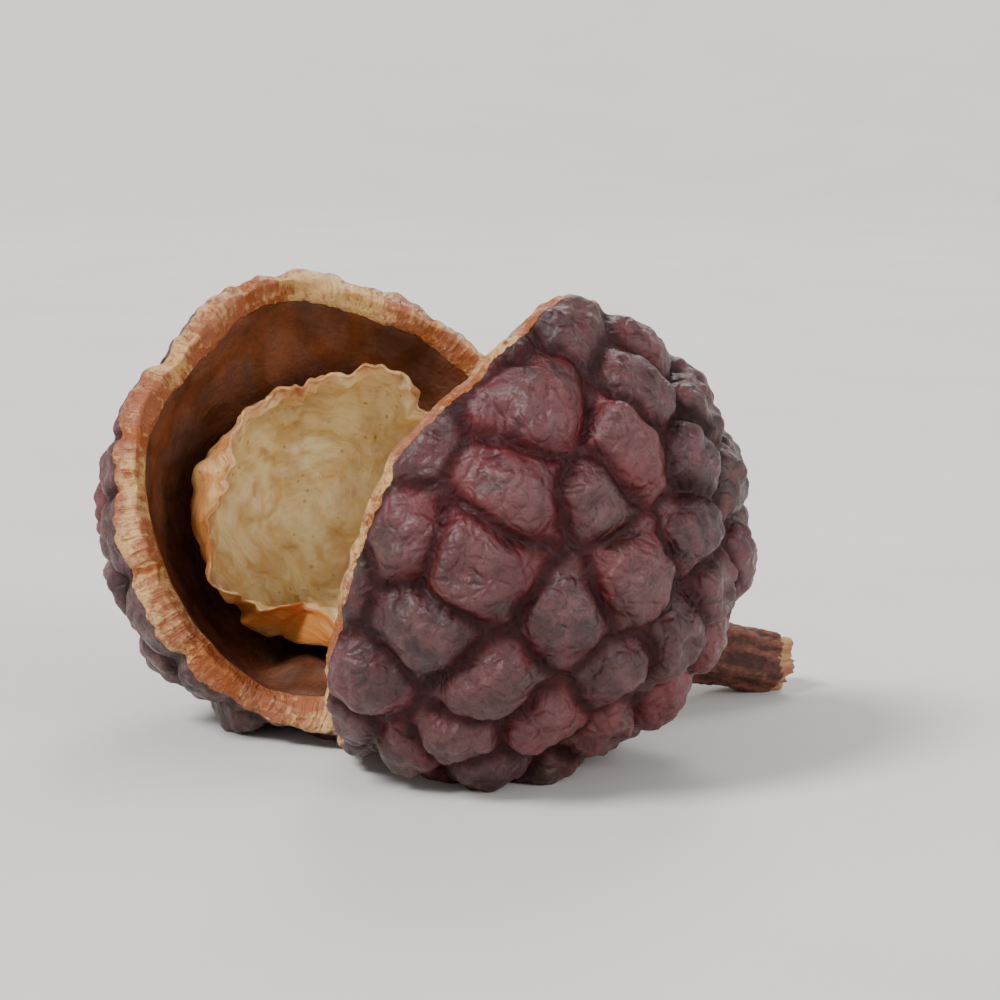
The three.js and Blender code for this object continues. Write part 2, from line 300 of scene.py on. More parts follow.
class Fruit:
    """The closed fruit, and how its valves open and lie."""

    def __init__(self):
        scene = bpy.context.scene
        self.size = scene.pepper_fruit
        self.glands = self.scatter_glands()
        self.stalk_aim = direction(0.0, scene.pepper_stalk.place)
        self.stalk_head = scene.pepper_stalk.head_radius
        self.spots = [direction(RESTING_SPOT_TURN, -self.size.lean, side)
                      for side in (1.0, -1.0)]
        self.place_matrix = self.resting_place()

    def scatter_glands(self, tries=9000):
        """Oil glands scattered over the ball: middles, radii and heights."""
        size = self.size
        state = size.seed

        def draw():
            nonlocal state
            state = (state * DRAW_FACTOR) % DRAW_RANGE
            return state / DRAW_RANGE

        middles = np.empty((0, 3))
        shares = []
        for _ in range(tries):
            height = 2.0 * draw() - 1.0
            turn = 2.0 * math.pi * draw()
            girth = math.sqrt(1.0 - height * height)
            share = draw()
            middle = np.array([girth * math.cos(turn), girth * math.sin(turn), height])
            if np.all(distance(middles, middle) * size.radius > size.wart_spacing):
                middles = np.vstack([middles, middle])
                shares.append(share)
        shares = np.array(shares)
        return (middles, blend(size.wart_small, size.wart_large, shares),
                blend(size.wart_low, size.wart_high, shares))

    def past_hinge(self, around):
        """Distance along the seam beyond the end of the hinge."""
        return self.size.radius * np.maximum(0.0, np.abs(around) - self.size.hinge_arc)

    def free(self, around):
        return smoothstep(self.past_hinge(around), 0.0, FREE_REACH)

    def radius(self, aims):
        """Radius without warts: flattened at the sides, drawn up at the crown, with a beak."""
        x, y, z = aims.T
        swell = 1.0 + 0.035 * z - 0.05 * x * x
        dents = 0.012 * np.sin(4 * y + 3 * z + 1) + 0.01 * np.sin(5 * x - 4 * y)
        from_beak = distance(aims, BEAK_DIRECTION) / BEAK_WIDTH
        return self.size.radius * (swell + dents) + BEAK_HEIGHT * np.exp(-from_beak ** 2)

    def worn(self, aims):
        """0 at the spots that it rests on and round the stalk, 1 elsewhere."""
        radius = self.size.radius
        from_spot = radius * np.minimum(*[distance(aims, spot) for spot in self.spots])
        from_stalk = radius * distance(aims, self.stalk_aim)
        return (smoothstep(from_spot, BARE_RADIUS, WARTS_FROM_SPOT)
                * smoothstep(from_stalk, self.stalk_head, WARTS_FROM_STALK))

    def warts(self, aims):
        """Height of the warts, the share of each dome from foot to top, the creases between
        them and a shade of its own for each."""
        middles, radii, rises = self.glands
        wobbly = wobbled(aims, 0.2, 0.045)
        domes = np.zeros(len(aims))
        crowns = np.zeros(len(aims))
        tints = np.zeros(len(aims))
        nearest = np.full((2, len(aims)), np.inf)
        for index, (middle, reach, rise) in enumerate(zip(middles, radii, rises)):
            spread = distance(wobbly, middle) * self.size.radius / reach
            inside = np.clip(1.0 - spread ** 2, 0.0, 1.0)
            # Every fourth gland has dried hollow, so its top has sunk in
            sunk = 0.5 * (index % 4 == 1) * np.exp(-(spread / 0.32) ** 2)
            domes = np.maximum(domes, rise * (inside ** 0.95 - sunk))
            crowns = np.maximum(crowns, inside ** 1.2)
            tints = np.where(spread < nearest[0], (index * TINT_STEP) % 1.0, tints)
            nearest[1] = np.minimum(nearest[1], np.maximum(nearest[0], spread))
            nearest[0] = np.minimum(nearest[0], spread)
        creases = np.exp(-((nearest[1] - nearest[0]) / 0.4) ** 2)
        return domes, crowns, creases, tints

    def swing_open(self, points, side, share):
        """A valve turns outwards about the hinge line, and bends over a strip beside it."""
        x, y, z = points.T
        around = np.arctan2(y, -z)
        beside = np.maximum(0.0, np.abs(x) - HINGE_FLAT)
        bend = smoothstep(np.hypot(self.past_hinge(around), beside), 0.0, HINGE_BEND)
        gape = np.where(side > 0, self.size.gape_right, self.size.gape_left)
        turn = side * bend * share * gape
        above = z - HINGE_LINE
        return np.stack([x * np.cos(turn) + above * np.sin(turn), y,
                         HINGE_LINE + above * np.cos(turn) - x * np.sin(turn)], axis=-1)

    def resting_place(self):
        """The valves gape unequally, so the fruit is rolled until both are equally low."""
        beside = HINGE_FLAT + HINGE_BEND
        right, left = self.swing_open(np.array([[beside, 0, 0], [-beside, 0, 0]]),
                                      np.array([1.0, -1.0]), 1.0)
        roll = math.atan2(right[2] - left[2], right[0] - left[0])
        middle_x, middle_y = FOOTPRINT_MIDDLE
        return (Matrix.Translation((-middle_x, -middle_y, self.size.height))
                @ Matrix.Rotation(self.size.lean, 4, "X") @ Matrix.Rotation(roll, 4, "Y"))

    def settle(self, points):
        """Put points in their place; what would reach below the surface is pressed flat."""
        matrix = np.array(self.place_matrix)
        placed = points @ matrix[:3, :3].T + matrix[:3, 3]
        placed[:, 2] = np.maximum(placed[:, 2], 0.0)
        return placed


def grown_shell(fruit, squares, rim_cuts):
    """A ball of even squares, slit along the seam beyond the hinge and given an inner face.

    Every vertex keeps its direction on the ball, its valve and its depth in the wall, from 0 on
    the outer face to 1 on the inner one."""
    mesh = bmesh.new()
    bmesh.ops.create_cube(mesh, size=2.0)
    bmesh.ops.subdivide_edges(mesh, edges=mesh.edges[:], cuts=squares - 1, use_grid_fill=True)
    for vert in mesh.verts:
        vert.co = Vector([math.tan(part * math.pi / 4.0) for part in vert.co]).normalized()
    open_seam(mesh, fruit.size.hinge_arc)
    aim = mesh.verts.layers.float_vector.new("grown")
    side = mesh.verts.layers.float.new("side")
    depth = mesh.verts.layers.float.new("depth")
    for vert in mesh.verts:
        vert[aim] = vert.co
        leaning = sum(face.calc_center_median().x for face in vert.link_faces)
        vert[side] = -1.0 if leaning < -TINY else 1.0
    # The inner face lies well inside the ball until it is given its true depth
    bmesh.ops.solidify(mesh, geom=mesh.faces[:], thickness=0.2)
    for vert in mesh.verts:
        vert[depth] = float(vert.co.length < 0.9)
    through = [edge for edge in mesh.edges if edge.verts[0][depth] != edge.verts[1][depth]]
    bmesh.ops.subdivide_edges(mesh, edges=through, cuts=rim_cuts)
    return mesh


def open_seam(mesh, hinge_arc):
    seam = []
    for edge in mesh.edges:
        if all(abs(vert.co.x) < TINY for vert in edge.verts):
            middle = (edge.verts[0].co + edge.verts[1].co) / 2
            if abs(math.atan2(middle.y, -middle.z)) > hinge_arc:
                seam.append(edge)
    bmesh.ops.split_edges(mesh, edges=seam)


def shell_values(mesh):
    """Direction, valve and depth of every vertex of a grown shell."""
    layers = mesh.verts.layers
    aim, side, depth = layers.float_vector["grown"], layers.float["side"], layers.float["depth"]
    aims = unit(np.array([vert[aim][:] for vert in mesh.verts]))
    sides = np.array([vert[side] for vert in mesh.verts])
    depths = np.array([vert[depth] for vert in mesh.verts])
    return aims, np.sign(sides), depths


def drawn_back(fruit, aims, sides, margin):
    """Directions moved back from the seam to the margin, their distances from it, and their
    places round the seam."""
    across = np.arcsin(np.clip(np.abs(aims[:, 0]), 0.0, 1.0))
    around = np.arctan2(aims[:, 1], -aims[:, 2])
    edge = margin(around, sides) / fruit.size.radius * fruit.free(around)
    moved = blend(edge, math.pi / 2, across / (math.pi / 2))
    return direction(moved, around, sides), (moved - edge) * fruit.size.radius, around


def margin_ripple(around, sides):
    """The long waves that both margins share, since they grew and dried together."""
    return np.sin(3 * around + sides) + 0.6 * np.sin(7 * around - 2 * sides)


def finished_piece(name, mesh, places, values):
    """Write the places and the shading values to the mesh, and make it a piece on the root."""
    layers = {key: mesh.verts.layers.float.new(key) for key in values}
    for index, vert in enumerate(mesh.verts):
        vert.co = places[index]
        for key, layer in layers.items():
            vert[layer] = values[key][index]
    piece = mesh_object(name, mesh)
    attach(piece, "root")
    return piece


def mesh_object(name, mesh):
    """Turn a bmesh into a smooth-shaded object in the scene."""
    for face in mesh.faces:
        face.smooth = True
    data = bpy.data.meshes.new(name)
    mesh.to_mesh(data)
    mesh.free()
    made = bpy.data.objects.new(name, data)
    bpy.context.scene.collection.objects.link(made)
    return made


def add_node(tree, kind, inputs=(), output=0, **settings):
    """Add a node with its settings and give one of its outputs. The inputs are named, or in
    order, and each is a value or the output of another node, which is linked."""
    node = tree.nodes.new("ShaderNode" + kind)
    for name, value in settings.items():
        setattr(node, name, value)
    for socket, value in inputs.items() if isinstance(inputs, dict) else enumerate(inputs):
        if isinstance(value, bpy.types.NodeSocket):
            tree.links.new(value, node.inputs[socket])
        else:
            node.inputs[socket].default_value = value
    return node.outputs[output] if node.outputs else None


def start_material(name):
    """A new material with an empty tree, the function that adds a node to it, and the colours."""
    material = bpy.data.materials.new(name)
    material.use_nodes = True
    material.node_tree.nodes.clear()
    return material, partial(add_node, material.node_tree), bpy.context.scene.pepper_colours


def place_on_object(node):
    """Place on the finished object in millimetres."""
    return node("Mapping", {"Vector": node("TexCoord", output="Object"), "Scale": (1 / MM,) * 3})


def place_on_fruit(node):
    """Place on the closed fruit in millimetres, so that a pattern follows the way it grew."""
    fruit_radius = bpy.context.scene.pepper_fruit.radius / MM
    grown = node("Attribute", output="Vector", attribute_name="grown")
    return node("Mapping", {"Vector": grown, "Scale": (fruit_radius,) * 3})


def layered_colour(node, tone, layers):
    """Lay colours over the first one, from the bottom up. Each layer is a colour and its masks,
    which are multiplied: a value, its two ends, and how much of the layer shows at each."""
    for over, *masks in layers:
        share = 1.0
        for mask in masks:
            shown = node("MapRange", mask, **SOFTLY)
            share = node("Math", [share, shown], operation="MULTIPLY")
        tone = node("Mix", {SHARE: share, FIRST: tone, SECOND: over}, MIXED, **OF_COLOURS)
    return tone


def layered_relief(node, layers):
    """Lay reliefs over one another, from the bottom up. Each layer is a pattern, how much of it
    shows, its height in millimetres, its strength, and whether it is sunk in."""
    below = {}
    for pattern, share, rise, strength, sunk in layers:
        height = node("Math", [pattern, share], operation="MULTIPLY")
        below = {"Normal": node("Bump", {"Height": height, "Distance": rise * MM,
                                         "Strength": strength, **below}, invert=sunk)}
    return below["Normal"]


def skin_colour(node, place, crease, colours):
    """Purplish brown skin with maroon and olive patches and mottling, a painted highlight of
    greyish purple on the tops of the warts, and painted shade in the creases and wrinkles."""
    crown, tint, wrinkle = [node("Attribute", output="Fac", attribute_name=name)
                            for name in ("crown", "tint", "wrinkle")]
    # Patches over a millimetre across, where the skin ripened redder or dried to olive, and
    # mottling 0.2 mm across, drawn a little coarser than it is
    patches, olive, mottle = [
        node("TexNoise", {"Vector": place, "Scale": 1 / size, "Detail": detail,
                          "Roughness": rough, "Distortion": twist})
        for size, detail, rough, twist in ((1.5, 4, 0.6, 0.6), (0.9, 3, 0.6, 1.0),
                                           (0.2, 6, 0.7, 0.0))]
    return layered_colour(node, colours.skin_dark, [
        (colours.skin_red, [patches, 0.36, 0.64, 0.0, 1.0], [tint, 0.0, 0.9, 0.3, 1.0]),
        (colours.skin_olive, [olive, 0.54, 0.7, 0.0, 0.8]),
        (colours.skin_red, [mottle, 0.48, 0.66, 0.0, 0.6]),
        (colours.skin_deep_and_crease_shade, [mottle, 0.32, 0.48, 0.7, 0.0]),
        # Painted highlight: greyish purple on the tops of the warts, broken up by the mottling
        (colours.skin_top_highlight, [crown, 0.05, 0.9, 0.0, 0.48], [mottle, 0.4, 0.62, 0.1, 1.0]),
        # Painted shade: the darkest brown laid in the creases between the warts and in the wrinkles
        (colours.skin_deep_and_crease_shade, [crease, 0.3, 1.0, 0.0, 0.7]),
        (colours.skin_deep_and_crease_shade, [wrinkle, 0.45, 1.0, 0.0, 0.5])])


def inner_wall_colour(node, place, veins, colours):
    """Brown inner face of the wall, with orange clouds and paler veins."""
    # Clouds 0.5 mm across
    clouds = node("TexNoise", {"Vector": place, "Scale": 1 / 0.5, "Detail": 6, "Roughness": 0.65})
    return layered_colour(node, colours.wall_inside, [
        (colours.rim, [clouds, 0.35, 0.72, 0.0, 0.6]),
        (colours.wall_vein, [veins, 0.35, 0.75, 0.0, 0.6])])


def split_edge_colour(node, place, fibres, colours):
    """Orange split edge, straw-coloured in stretches, with crumbs and the ends of fibres."""
    # Stretches over a millimetre long, and crumbs 0.09 mm across
    stretches, crumbs = [
        node("TexNoise", {"Vector": place, "Scale": 1 / size, "Detail": detail, "Roughness": rough})
        for size, detail, rough in ((1.1, 3, 0.6), (0.09, 4, 0.65))]
    pale = node("MapRange", [stretches, 0.4, 0.62, -0.24, 0.2], **SOFTLY)
    for pattern in (crumbs, fibres):
        pale = node("Math", [pale, pattern], operation="ADD")
    return layered_colour(node, colours.rim, [(colours.rim_pale, [pale, 0.78, 1.2, 0.0, 1.0])])


def skin_relief_layers(node, place, depth):
    """Relief of the skin too fine for the mesh: leathery pads with pores, and creases."""
    # Pores of 0.04 mm, pads of 0.13 mm and creases 0.3 mm apart, coarser than the real ones
    pores = node("TexNoise", {"Vector": place, "Scale": 1 / 0.04, "Detail": 4,
                              "Roughness": 0.65})
    shaken = node("TexNoise", {"Vector": place, "Scale": 1 / 0.2, "Detail": 3}, "Color")
    shaken = node("VectorMath", [shaken, (0.12, 0.12, 0.12)], operation="MULTIPLY")
    shaken = node("VectorMath", [place, shaken], operation="ADD")
    pads = node("TexVoronoi", {"Vector": shaken, "Scale": 1 / 0.13}, feature="DISTANCE_TO_EDGE")
    pads = node("MapRange", [pads, 0.0, 0.3, 0.0, 1.0], **SOFTLY)
    creases = node("TexNoise", {"Vector": shaken, "Scale": 1 / 0.3, "Detail": 4,
                                "Roughness": 0.55, "Lacunarity": 2.2}, **RIDGED)
    outside = node("MapRange", [depth, 0.0, 0.4, 1.0, 0.2], **SOFTLY)
    return [(pores, 1.0, 0.018, 0.8, False), (pads, outside, 0.016, 0.8, False),
            (creases, outside, 0.05, 0.7, True)]


def dried_fruit_skin():
    """Air-dried fruit wall with oil glands: a leathery skin whose oil gives the warts a soft
    gloss, dull in the creases and painted dark there as shade, with a fibrous, dry split edge
    and a veined inside."""
    material, node, colours = start_material("dried_fruit_skin")
    place = place_on_object(node)
    across_wall = place_on_fruit(node)
    rim, depth, crease = [node("Attribute", output="Fac", attribute_name=name)
                          for name in ("rim", "depth", "crease")]
    # Fibres 0.05 mm wide, cut off across the wall, and veins 0.5 mm apart on the inside
    fibres = node("TexNoise", {"Vector": across_wall, "Scale": 1 / 0.05, "Detail": 3,
                               "Roughness": 0.6})
    veins = node("TexNoise", {"Vector": across_wall, "Scale": 1 / 0.5, "Detail": 3,
                              "Roughness": 0.6, "Distortion": 0.3}, **RIDGED)
    # The skin ends in ragged steps of 0.12 mm, and its oil lies in patches of 0.22 mm
    ragged, gloss = [
        node("TexNoise", {"Vector": place, "Scale": 1 / size, "Detail": detail, "Roughness": rough})
        for size, detail, rough in ((0.12, 4, 0.6), (0.22, 5, 0.65))]
    ragged = node("Math", [rim, ragged], operation="ADD")
    rim = node("MapRange", [ragged, 0.92, 1.04, 0.0, 1.0], **SOFTLY)
    inner = node("MapRange", [depth, 0.6, 0.98, 0.0, 1.0], **SOFTLY)
    base = skin_colour(node, place, crease, colours)
    for share, tone in ((inner, inner_wall_colour(node, place, veins, colours)),
                        (rim, split_edge_colour(node, place, fibres, colours))):
        base = node("Mix", {SHARE: share, FIRST: base, SECOND: tone}, MIXED, **OF_COLOURS)
    gloss = node("MapRange", [gloss, 0.32, 0.68, 0.27, 0.6], **SOFTLY)
    dry = node("MapRange", [depth, 0.1, 0.9, 0.0, 0.25], **SOFTLY)
    rough = node("Math", [gloss, dry], operation="ADD")
    shine = node("MapRange", [crease, 0.1, 0.8, 0.5, 0.12], **SOFTLY)
    relief = skin_relief_layers(node, place, depth)
    relief += [(fibres, rim, 0.05, 0.9, False), (veins, inner, 0.06, 0.7, False)]
    shader = node("BsdfPrincipled", {
        "Base Color": base, "Roughness": rough, "Specular IOR Level": shine,
        "Coat Weight": 0.08, "Coat Roughness": 0.3, "Normal": layered_relief(node, relief)})
    node("OutputMaterial", {"Surface": shader})
    return material


def lining_colour(node, place, fibres, clouds, colours):
    """Orange-tan lining with a pale straw inner face, stains of 0.5 mm and fibres, browned at its
    margin and in its folds, with brown specks 0.05 mm across, where the seed was grown to it."""
    depth, margin, fold = [node("Attribute", output="Fac", attribute_name=name)
                           for name in ("depth", "margin", "fold")]
    within = [depth, 0.3, 0.7, 0.0, 1.0]
    stains = node("TexNoise", {"Vector": place, "Scale": 1 / 0.5, "Detail": 6,
                               "Roughness": 0.65, "Distortion": 1.2})
    specks = node("TexVoronoi", {"Vector": place, "Scale": 1 / 0.23}, feature="F1")
    return layered_colour(node, colours.tan, [
        (colours.straw, [clouds, 0.42, 0.7, 0.0, 1.0]),
        (colours.straw, within),
        (colours.cream, within, [clouds, 0.38, 0.62, 0.0, 1.0]),
        (colours.tan, [stains, 0.52, 0.74, 0.0, 0.7]),
        (colours.tan, [fibres, 0.4, 0.75, 0.0, 0.3]),
        (colours.stain, [margin, 0.0, 1.0, 0.0, 1.0], [stains, 0.4, 0.6, 0.15, 0.85]),
        (colours.stain, [fold, 0.4, 0.9, 0.0, 0.4]),
        (colours.stain, [specks, 0.05, 0.18, 0.6, 0.0])])


def papery_fruit_lining():
    """Dried inner layer of the fruit: thin, crumpled and horny like parchment, so it is satiny
    and lets a little light through, with fine fibres along the mouth."""
    material, node, colours = start_material("papery_fruit_lining")
    place = place_on_fruit(node)
    # Clouds a millimetre across
    clouds = node("TexNoise", {"Vector": place, "Scale": 1.0, "Detail": 5, "Roughness": 0.6,
                               "Distortion": 0.5})
    # Fibres 0.05 mm wide along the mouth and pores of 0.06 mm, coarser than the real ones
    fibres = node("Mapping", {"Vector": place, "Scale": (1.0, 0.1, 0.1)})
    fibres = node("TexNoise", {"Vector": fibres, "Scale": 1 / 0.05, "Detail": 3,
                               "Roughness": 0.6, "Distortion": 0.1})
    pores = node("TexNoise", {"Vector": place, "Scale": 1 / 0.06, "Detail": 4,
                              "Roughness": 0.6})
    # Crumpled like paper, in creases about 0.45 mm apart
    crumple = node("TexNoise", {"Vector": place, "Scale": 1 / 0.45, "Detail": 4,
                                "Roughness": 0.5, "Distortion": 0.4}, **RIDGED)
    normal = layered_relief(node, [(pores, 1.0, 0.012, 0.7, False),
                                   (fibres, 1.0, 0.02, 0.7, False),
                                   (crumple, 1.0, 0.08, 0.8, True)])
    rough = node("MapRange", [clouds, 0.3, 0.7, 0.32, 0.5], **SOFTLY)
    shader = node("BsdfPrincipled", {
        "Base Color": lining_colour(node, place, fibres, clouds, colours), "Roughness": rough,
        "Subsurface Weight": 0.3, "Subsurface Scale": 0.2 * MM, "Normal": normal})
    node("OutputMaterial", {"Surface": shader})
    return material


def bark_colour(node, place, flecks, grain, colours):
    """Reddish brown bark with pale flecks and ridges, dark furrows and grain, and pale pores."""
    ridge, strand = [node("Attribute", output="Fac", attribute_name=name)
                     for name in ("ridge", "strand")]
    # Pores 0.05 mm wide, drawn out along Y, as the stalk is
    pores = node("Mapping", {"Vector": place, "Scale": (1.0, 0.5, 1.0)})
    pores = node("TexVoronoi", {"Vector": pores, "Scale": 1 / 0.2}, feature="F1")
    return layered_colour(node, colours.bark, [
        (colours.bark_pale, [flecks, 0.35, 0.72, 0.0, 0.85]),
        (colours.bark_pale, [ridge, 0.4, 1.0, 0.0, 0.35]),
        (colours.bark_dark, [strand, 0.15, 0.65, 0.85, 0.0]),
        (colours.bark_pale, [pores, 0.06, 0.16, 0.45, 0.0]),
        (colours.bark_dark, [grain, 0.35, 0.6, 0.5, 0.0])])


def dry_stalk_bark():
    """Thin dry bark on a woody stalk: matt and reddish brown, with a lengthwise grain, faint
    pale pores, and bare fibres where it has torn back at the end."""
    material, node, colours = start_material("dry_stalk_bark")
    place = place_on_object(node)
    # Grain 0.05 mm wide, coarser than real fibres and drawn out along Y, as the stalk is
    grain = node("Mapping", {"Vector": place, "Scale": (1.0, 0.2, 1.0)})
    grain = node("TexNoise", {"Vector": grain, "Scale": 1 / 0.05, "Detail": 5,
                              "Roughness": 0.65})
    # Flecks 0.14 mm across
    flecks = node("TexNoise", {"Vector": place, "Scale": 1 / 0.14, "Detail": 6,
                               "Roughness": 0.7})
    bark = bark_colour(node, place, flecks, grain, colours)
    wood = layered_colour(node, colours.bark_pale, [(colours.wood, [grain, 0.38, 0.6, 0.0, 1.0])])
    torn = node("Attribute", output="Fac", attribute_name="torn")
    base = layered_colour(node, bark, [(wood, [torn, 0.0, 1.0, 0.0, 1.0])])
    rough = node("MapRange", [flecks, 0.3, 0.7, 0.52, 0.78], **SOFTLY)
    normal = node("Bump", {"Height": grain, "Distance": 0.05 * MM, "Strength": 0.9})
    shader = node("BsdfPrincipled", {"Base Color": base, "Roughness": rough,
                                     "Specular IOR Level": 0.4, "Normal": normal})
    node("OutputMaterial", {"Surface": shader})
    return material


def matt_pale_board():
    """Matt painted board: even and pale, with the faint tooth of its paint."""
    material, node, colours = start_material("matt_pale_board")
    place = place_on_object(node)
    # Clouds 4 mm across and a tooth of 0.12 mm
    clouds, tooth = [node("TexNoise", {"Vector": place, "Scale": 1 / size, "Detail": 2})
                     for size in (4.0, 0.12)]
    base = layered_colour(node, colours.floor, [((1, 1, 1, 1), [clouds, 0.3, 0.7, 0.0, 0.08])])
    rough = node("MapRange", [tooth, 0.3, 0.7, 0.75, 0.85], **SOFTLY)
    normal = node("Bump", {"Height": tooth, "Distance": 0.004 * MM, "Strength": 0.2})
    shader = node("BsdfPrincipled", {"Base Color": base, "Roughness": rough, "Normal": normal})
    node("OutputMaterial", {"Surface": shader})
    return material


def husk_margin(around, sides):
    """How far the split edge lies back from the seam: wavy, and finely nicked by the split."""
    nicks = field(direction(0.0, around) + 2.0 * sides[:, None], 0.16)
    return (0.05 + 0.03 * margin_ripple(around, sides)) * MM + EDGE_NICK * nicks


def skin_relief(fruit, aims, at_lip):
    """Relief of the skin, and the shading values that go with it: warts that are lower towards
    the split edge, wrinkles, and fine pimples."""
    worn = fruit.worn(aims)
    domes, crowns, creases, tints = fruit.warts(aims)
    wrinkles = folds(wobbled(aims, 0.3, 0.08, offset=4.0), 0.15, offset=3.0)
    pimples = np.clip(0.5 - field(aims, 0.075, "VORONOI_F1", offset=6.0), 0.0, 1.0) * 2
    relief = worn * (1.0 - 0.65 * at_lip) * (domes - WART_CREASE * creases)
    relief += (0.4 + 0.6 * worn) * (SKIN_PIMPLE * (pimples - 1.0) - SKIN_WRINKLE * wrinkles)
    return relief, {"crown": crowns * worn, "crease": creases * worn, "tint": tints,
                    "wrinkle": wrinkles * worn}


def husk_points(fruit, aims, sides, depths, from_edge, around):
    """Points of the closed husk: skin, rounded split edge and inner face, with their values."""
    split = smoothstep(fruit.past_hinge(around), 0.0, SPLIT_REACH)
    at_lip = split * (1.0 - smoothstep(from_edge, 0.0, LOW_WARTS))
    relief, values = skin_relief(fruit, aims, at_lip)
    full = fruit.size.wall
    wall = full * blend(0.66, 1.0, smoothstep(from_edge, 0.0, THIN_WALL))
    pits = INNER_PIT * field(aims, 0.13, offset=9.0)
    skin = fruit.radius(aims) + relief
    inside = fruit.radius(aims) - blend(full, wall, split) + pits
    rest = np.minimum(1.0, from_edge / (2.0 * EDGE_ROUNDING))
    rounding = EDGE_ROUNDING * split * (1.0 - np.sqrt(1.0 - (1.0 - rest) ** 2))
    points = aims * blend(skin - rounding, inside + rounding, depths)[:, None]
    on_lip = (depths > 0.01) & (depths < 0.99)
    crumbs = EDGE_CRUMB * field(aims + 0.4 * depths[:, None], 0.07, offset=5.0)
    crown = EDGE_CROWN * np.sin(math.pi * depths) + crumbs
    points[:, 0] -= on_lip * fruit.free(around) * sides * crown
    beside = 1.0 - smoothstep(from_edge, *EDGE_STAIN)
    values["rim"] = split * np.where(on_lip, 1.0, beside)
    return points, values


class PEPPER_OT_husk(bpy.types.Operator):
    """Add the warty husk, split into two valves that hold together at the base"""
    bl_idname = "pepper.husk"
    bl_label = "Husk"

    def execute(self, context):
        fruit = Fruit()
        mesh = grown_shell(fruit, fruit.size.squares, rim_cuts=5)
        aims, sides, depths = shell_values(mesh)
        aims, from_edge, around = drawn_back(fruit, aims, sides, husk_margin)
        points, values = husk_points(fruit, aims, sides, depths, from_edge, around)
        places = fruit.settle(fruit.swing_open(points, sides, 1.0))
        piece = finished_piece("husk_skin", mesh, places, values)
        piece.data.materials.append(dried_fruit_skin())
        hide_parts("husk")
        return {"FINISHED"}


def lining_margin(size, around, sides):
    """How far the lining's margin lies back from the seam: wavy, frayed and here and there torn."""
    frays = field(direction(0.0, around) + 3.0 * sides[:, None], 0.17)
    tears = np.cos(around - 2.1 * sides - 0.4) * np.sin(6.5 * around + sides)
    return (size.inset + size.wave * margin_ripple(around, sides) + LINING_FRAY * frays
            + LINING_TEAR * smoothstep(tears, 0.82, 0.97))


def lining_points(fruit, size, aims, sides, depths, from_edge, around):
    """Points of the closed lining: a thin wall that curls in and thins out at its margin."""
    free = fruit.free(around)
    curled = free * (1.0 - smoothstep(from_edge, 0.0, size.curl_reach))
    wander = 1.0 + 0.45 * np.sin(3 * around + 2 * sides) + 0.35 * np.sin(5 * around - sides)
    crinkle = LINING_CRINKLE * curled * (field(aims, 0.2, offset=7.0)
                                         + 0.5 * field(aims, 0.09, offset=12.0))
    cockle = LINING_COCKLE * field(aims, 0.35, offset=2.0)
    creased = folds(wobbled(aims, 0.5, 0.15, offset=20.0), 0.34, offset=8.0)
    outer = fruit.radius(aims) - fruit.size.wall - size.clearance - size.curl * curled * wander
    thinned = free * (1.0 - smoothstep(from_edge, 0.0, THIN_LINING))
    thickness = blend(size.thickness, size.edge_thickness, thinned)
    # It never comes nearer to the wall than its clearance
    wrinkled = np.minimum(crinkle + cockle - LINING_FOLD * creased, LINING_SLACK)
    radius = outer - depths * thickness - LINING_SLACK + wrinkled
    margin = free * (1.0 - smoothstep(from_edge, 0.0, BROWNED_LINING))
    return aims * radius[:, None], {"margin": margin, "fold": creased}


class PEPPER_OT_lining(bpy.types.Operator):
    """Add the papery lining, a thin cup in each valve with a curled margin"""
    bl_idname = "pepper.lining"
    bl_label = "Lining"

    def execute(self, context):
        fruit = Fruit()
        size = context.scene.pepper_lining
        mesh = grown_shell(fruit, size.squares, rim_cuts=1)
        aims, sides, depths = shell_values(mesh)
        margin = partial(lining_margin, size)
        aims, from_edge, around = drawn_back(fruit, aims, sides, margin)
        points, values = lining_points(fruit, size, aims, sides, depths, from_edge, around)
        places = fruit.settle(fruit.swing_open(points, sides, size.gape_share))
        piece = finished_piece("papery_lining", mesh, places, values)
        piece.data.materials.append(papery_fruit_lining())
        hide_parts("lining")
        return {"FINISHED"}


def stalk_line(fruit, size, shares):
    """Middles of the stalk: out of the skin beside the hinge, then down to the surface."""
    matrix = fruit.place_matrix
    skin = matrix @ Vector(fruit.stalk_aim * (fruit.size.radius - STALK_SEAT))
    outward = (matrix.to_3x3() @ Vector(fruit.stalk_aim)).normalized()
    start_x = matrix.translation.x
    # The root is sunk into the wall, which it has grown together with
    knots = [skin - outward * size.sunk, skin + outward * 0.25 * size.reach,
             Vector((start_x + 0.4 * size.sway, skin.y + 0.56 * size.reach, 2.1 * size.tip_height)),
             Vector((start_x + size.sway, skin.y + size.reach, size.tip_height))]
    knots = [2 * knots[0] - knots[1]] + knots + [2 * knots[3] - knots[2]]
    fine = [smooth_curve_point(knots[index:index + 4], step / 40)
            for index in range(3) for step in range(40)] + [knots[4]]
    fine = np.array(fine)
    run = np.concatenate([[0.0], np.cumsum(np.linalg.norm(np.diff(fine, axis=0), axis=1))])
    return np.stack([np.interp(shares * run[-1], run, fine[:, axis]) for axis in range(3)], axis=1)


def smooth_curve_point(knots, share):
    """A point between the two middle ones of four knots, on the centripetal curve through them."""
    first, low, high, last = knots
    before, here, after = [max((b - a).length ** 0.5, TINY)
                           for a, b in ((first, low), (low, high), (high, last))]
    leave = ((low - first) / before - (high - first) / (before + here) + (high - low) / here) * here
    enter = ((high - low) / here - (last - low) / (here + after) + (last - high) / after) * here
    bend = 2 * low - 2 * high + leave + enter
    return low + share * (leave + share * (-3 * low + 3 * high - 2 * leave - enter + share * bend))


